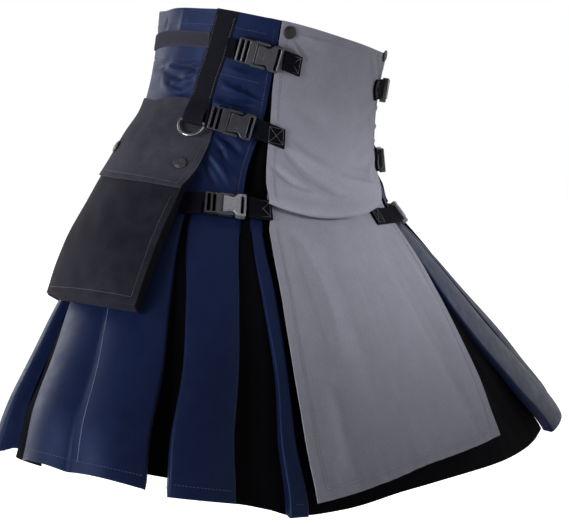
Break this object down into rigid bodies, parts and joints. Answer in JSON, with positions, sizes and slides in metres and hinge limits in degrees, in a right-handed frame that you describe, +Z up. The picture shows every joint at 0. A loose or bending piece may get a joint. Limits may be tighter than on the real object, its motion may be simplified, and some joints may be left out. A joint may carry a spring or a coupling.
{
  "type": "utility kilt",
  "caption": "Knee-length pleated wrap kilt with a front apron, buckled webbing straps, hip cargo pockets and hanging D-rings, filled out as if worn.",
  "frame": {"origin": "middle of the waist, where the wearer's body holds the kilt up", "axes": "+Z up along the body, front towards -Y, wearer's left towards +X"},
  "size_m": [0.8932, 0.4635, 0.5969],
  "materials": {
    "navy_cloth": "smooth cotton twill",
    "black_cloth": "smooth cotton twill",
    "grey_cloth": "fine cotton twill",
    "canvas": "matt canvas",
    "webbing": "flat woven webbing",
    "plastic": "moulded, satin",
    "snap_metal": "gunmetal",
    "ring_metal": "nickel plated"
  },
  "bodies": {
    "garment": {"apron_snap_left": "snap_metal", "apron_snap_right": "snap_metal", "back_inset_left": "black_cloth", "back_inset_right": "black_cloth", "back_pleat_left": "navy_cloth", "back_pleat_right": "navy_cloth", "back_side_inset_left": "black_cloth", "back_side_inset_right": "black_cloth", "back_side_pleat_left": "navy_cloth", "back_side_pleat_right": "navy_cloth", "bottom_buckle_female_left": "plastic", "bottom_buckle_female_right": "plastic", "bottom_buckle_male_left": "plastic", "bottom_buckle_male_right": "plastic", "bottom_strap_left": "webbing", "bottom_strap_right": "webbing", "bottom_tab_left": "webbing", "bottom_tab_right": "webbing", "centre_back_inset_left": "black_cloth", "centre_back_inset_right": "black_cloth", "centre_back_pleat": "navy_cloth", "front_apron": "grey_cloth", "front_strip": "navy_cloth", "hanger_strap_left": "webbing", "hanger_strap_right": "webbing", "middle_buckle_female_left": "plastic", "middle_buckle_female_right": "plastic", "middle_buckle_male_left": "plastic", "middle_buckle_male_right": "plastic", "middle_strap_left": "webbing", "middle_strap_right": "webbing", "middle_tab_left": "webbing", "middle_tab_right": "webbing", "pocket_flap_left": "canvas", "pocket_flap_right": "canvas", "pocket_left": "canvas", "pocket_right": "canvas", "pocket_snap_front_left": "snap_metal", "pocket_snap_front_right": "snap_metal", "pocket_snap_rear_left": "snap_metal", "pocket_snap_rear_right": "snap_metal", "side_front_pleat_left": "navy_cloth", "side_front_pleat_right": "navy_cloth", "side_inset_left": "black_cloth", "side_inset_right": "black_cloth", "side_pleat_left": "navy_cloth", "side_pleat_right": "navy_cloth", "top_buckle_female_left": "plastic", "top_buckle_female_right": "plastic", "top_buckle_male_left": "plastic", "top_buckle_male_right": "plastic", "top_strap_left": "webbing", "top_strap_right": "webbing", "top_tab_left": "webbing", "top_tab_right": "webbing", "under_apron": "black_cloth", "waist_band": "webbing", "yoke": "navy_cloth"},
    "d_ring_right": {"d_ring_right": "ring_metal"},
    "d_ring_left": {"d_ring_left": "ring_metal"}
  },
  "joints": [
    {"name": "d_ring_right_hinge", "type": "hinge", "parent": "garment", "child": "d_ring_right", "pos_m": [-0.1712, -0.02312, -0.12027], "axis": [-0.4537, 0.8627, 0.2233], "range_deg": [0, 115]},
    {"name": "d_ring_left_hinge", "type": "hinge", "parent": "garment", "child": "d_ring_left", "pos_m": [0.16677, -0.02293, -0.1591], "axis": [-0.4609, -0.8788, -0.1236], "range_deg": [0, 115]}
  ]
}
